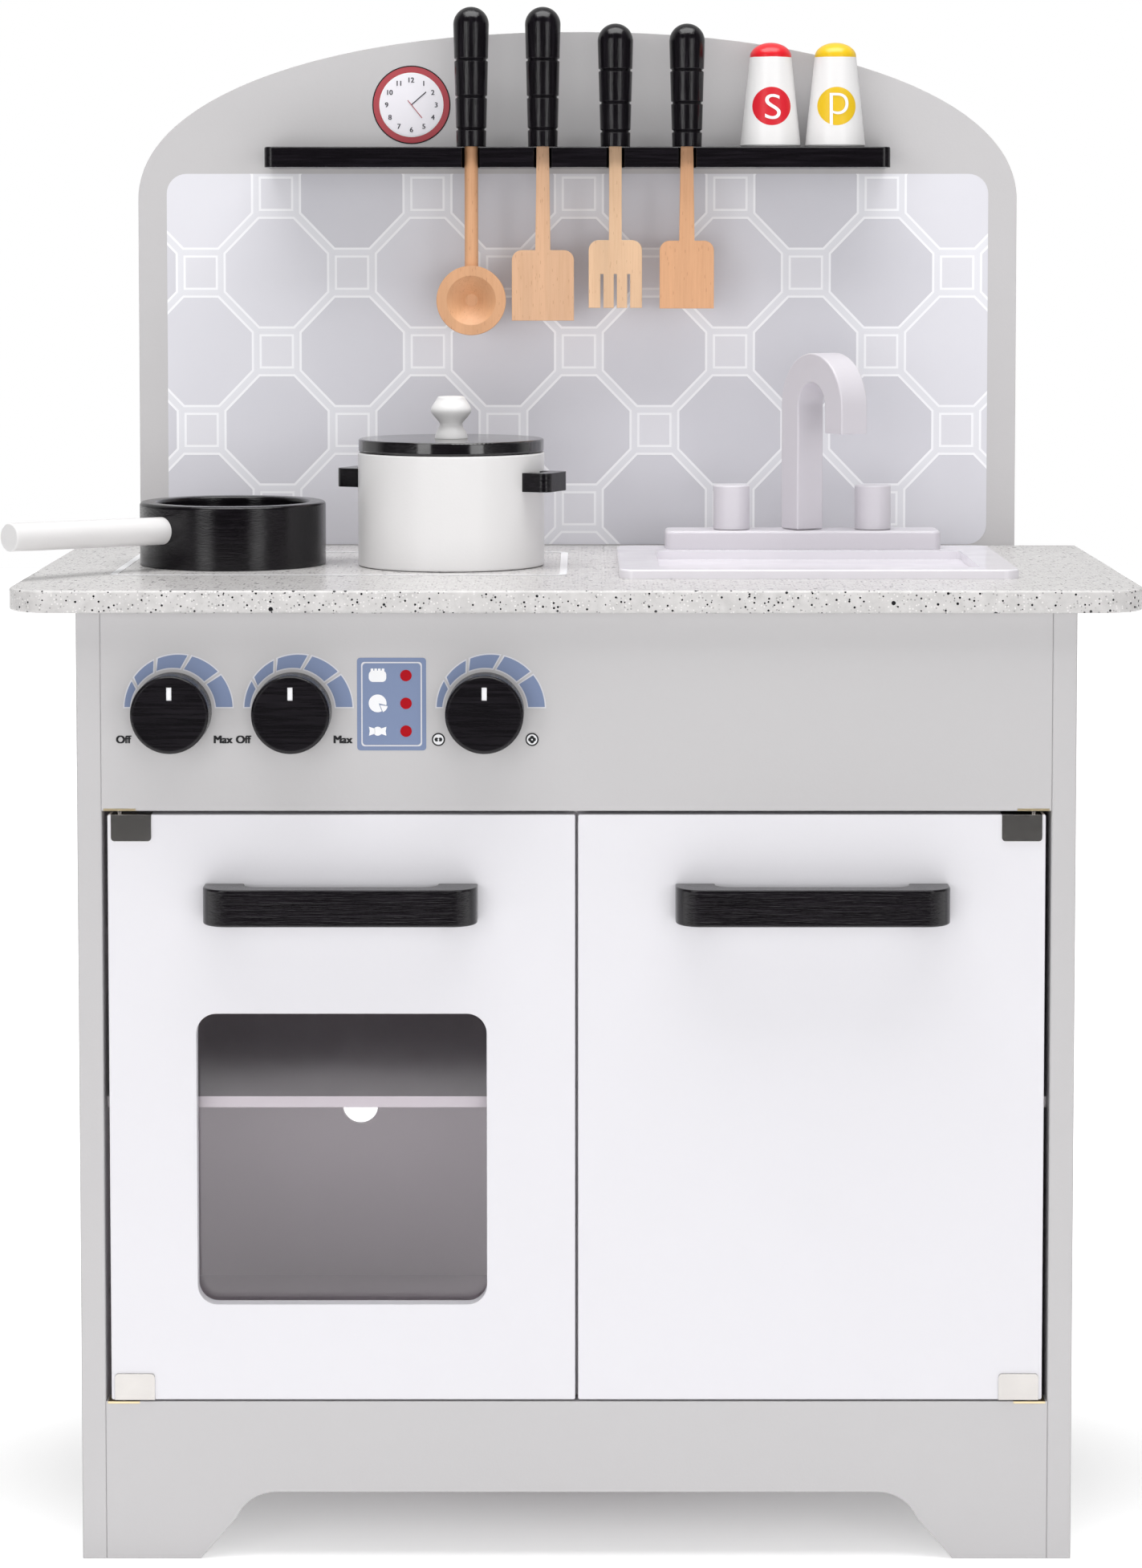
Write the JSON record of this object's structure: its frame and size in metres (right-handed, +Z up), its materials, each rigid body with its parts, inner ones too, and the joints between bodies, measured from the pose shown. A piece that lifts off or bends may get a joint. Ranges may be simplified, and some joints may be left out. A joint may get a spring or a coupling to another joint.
{
  "type": "toy kitchen",
  "caption": "Wooden play kitchen with hinged oven and cupboard doors, turning knobs, swivelling tap, shallow sink, pot with lid, pan, hanging utensils and shakers.",
  "frame": {"origin": "on the floor, midway between the side panels and midway between the front and the back", "axes": "+X to the user's right as they face it, +Y towards the back, +Z up"},
  "size_m": [0.6096, 0.326, 0.8384],
  "materials": {
    "grey_board": "satin grey paint",
    "back_board": "matte grey paint",
    "speckled_worktop": "satin printed stone speckle",
    "black_wood": "gloss black paint over visible grain",
    "white_board": "semi-gloss white paint",
    "window_pane": "clear grey-tinted sheet",
    "screw_steel": "zinc plated",
    "hinge_nickel": "polished nickel plate",
    "plate_brass": "satin",
    "catch_plastic": "matte",
    "beech": "bare sanded beech",
    "silver_wood": "matte silver paint",
    "white_wood": "satin white paint"
  },
  "bodies": {
    "cabinet": {"side_panel_left": "grey_board", "side_panel_right": "grey_board", "control_fascia": "grey_board", "plinth": "grey_board", "worktop": "speckled_worktop", "cabinet_floor": "grey_board", "centre_divider": "grey_board", "oven_shelf": "grey_board", "cupboard_shelf": "grey_board", "cabinet_back": "back_board", "splashback": "grey_board", "utensil_shelf": "black_wood", "carcass_screws": "screw_steel", "back_screws": "screw_steel", "worktop_dowels": "beech", "magnetic_catches": "catch_plastic", "hinge_plates": "plate_brass", "sink_basin": "silver_wood", "faucet_base": "silver_wood"},
    "oven_door_leaf": {"oven_door": "white_board", "oven_window": "window_pane", "window_screws": "screw_steel", "oven_door_handle": "black_wood", "oven_handle_screws": "screw_steel", "oven_hinge_caps": "hinge_nickel", "oven_hinge_pins": "hinge_nickel", "oven_strike_plate": "hinge_nickel"},
    "cupboard_door_leaf": {"cupboard_door": "white_board", "cupboard_door_handle": "black_wood", "cupboard_handle_screws": "screw_steel", "cupboard_hinge_caps": "hinge_nickel", "cupboard_hinge_pins": "hinge_nickel", "cupboard_strike_plate": "hinge_nickel"},
    "left_knob": {"hob_knob_left": "black_wood", "hob_knob_left_spindle": "screw_steel"},
    "middle_knob": {"hob_knob_right": "black_wood", "hob_knob_right_spindle": "screw_steel"},
    "right_knob": {"oven_knob": "black_wood", "oven_knob_spindle": "screw_steel"},
    "faucet": {"faucet_spout": "silver_wood", "spout_dowel": "beech"},
    "left_tap": {"tap_left": "silver_wood"},
    "right_tap": {"tap_right": "silver_wood"},
    "pot": {"pot_body": "white_wood", "pot_handles": "black_wood"},
    "lid": {"pot_lid": "black_wood", "lid_knob": "white_wood"},
    "pan": {"pan_body": "black_wood", "pan_handle": "white_wood"},
    "ladle_body": {"ladle": "beech", "ladle_grip": "black_wood"},
    "spatula_body": {"spatula": "beech", "spatula_grip": "black_wood"},
    "fork_body": {"fork": "beech", "fork_grip": "black_wood"},
    "turner_body": {"turner": "beech", "turner_grip": "black_wood"},
    "salt": {"salt_shaker": "white_wood"},
    "pepper": {"pepper_shaker": "white_wood"}
  },
  "joints": [
    {"name": "oven_door_hinge", "type": "hinge", "parent": "cabinet", "child": "oven_door_leaf", "pos_m": [-0.241, -0.136, 0.2425], "axis": [0, 0, -1], "range_deg": [0, 105]},
    {"name": "cupboard_door_hinge", "type": "hinge", "parent": "cabinet", "child": "cupboard_door_leaf", "pos_m": [0.241, -0.136, 0.2425], "axis": [0, 0, 1], "range_deg": [0, 105]},
    {"name": "hob_knob_left_turn", "type": "hinge", "parent": "cabinet", "child": "left_knob", "pos_m": [-0.212, -0.15, 0.454], "axis": [0, -1, 0], "continuous": true},
    {"name": "hob_knob_right_turn", "type": "hinge", "parent": "cabinet", "child": "middle_knob", "pos_m": [-0.149, -0.15, 0.454], "axis": [0, -1, 0], "continuous": true},
    {"name": "oven_knob_turn", "type": "hinge", "parent": "cabinet", "child": "right_knob", "pos_m": [-0.048, -0.15, 0.454], "axis": [0, -1, 0], "continuous": true},
    {"name": "faucet_swivel", "type": "hinge", "parent": "cabinet", "child": "faucet", "pos_m": [0.1305, 0.072, 0.56], "axis": [0, 0, 1], "range_deg": [-121, 59]},
    {"name": "left_tap_turn", "type": "hinge", "parent": "cabinet", "child": "left_tap", "pos_m": [0.0895, 0.072, 0.545], "axis": [0, 0, 1], "continuous": true},
    {"name": "right_tap_turn", "type": "hinge", "parent": "cabinet", "child": "right_tap", "pos_m": [0.1715, 0.072, 0.545], "axis": [0, 0, 1], "continuous": true},
    {"name": "pot_lift", "type": "slide", "parent": "cabinet", "child": "pot", "axis": [0, 0, 1], "range_m": [0, 0.12]},
    {"name": "lid_lift", "type": "slide", "parent": "pot", "child": "lid", "axis": [0, 0, 1], "range_m": [0, 0.06]},
    {"name": "pan_lift", "type": "slide", "parent": "cabinet", "child": "pan", "axis": [0, 0, 1], "range_m": [0, 0.12]},
    {"name": "ladle_unhook", "type": "slide", "parent": "cabinet", "child": "ladle_body", "axis": [0, -0.9659, 0.2588], "range_m": [0, 0.2]},
    {"name": "spatula_unhook", "type": "slide", "parent": "cabinet", "child": "spatula_body", "axis": [0, -0.9659, 0.2588], "range_m": [0, 0.2]},
    {"name": "fork_unhook", "type": "slide", "parent": "cabinet", "child": "fork_body", "axis": [0, -0.9659, 0.2588], "range_m": [0, 0.2]},
    {"name": "turner_unhook", "type": "slide", "parent": "cabinet", "child": "turner_body", "axis": [0, -0.9659, 0.2588], "range_m": [0, 0.2]},
    {"name": "salt_lift", "type": "slide", "parent": "cabinet", "child": "salt", "axis": [0, 0, 1], "range_m": [0, 0.08]},
    {"name": "pepper_lift", "type": "slide", "parent": "cabinet", "child": "pepper", "axis": [0, 0, 1], "range_m": [0, 0.08]}
  ]
}
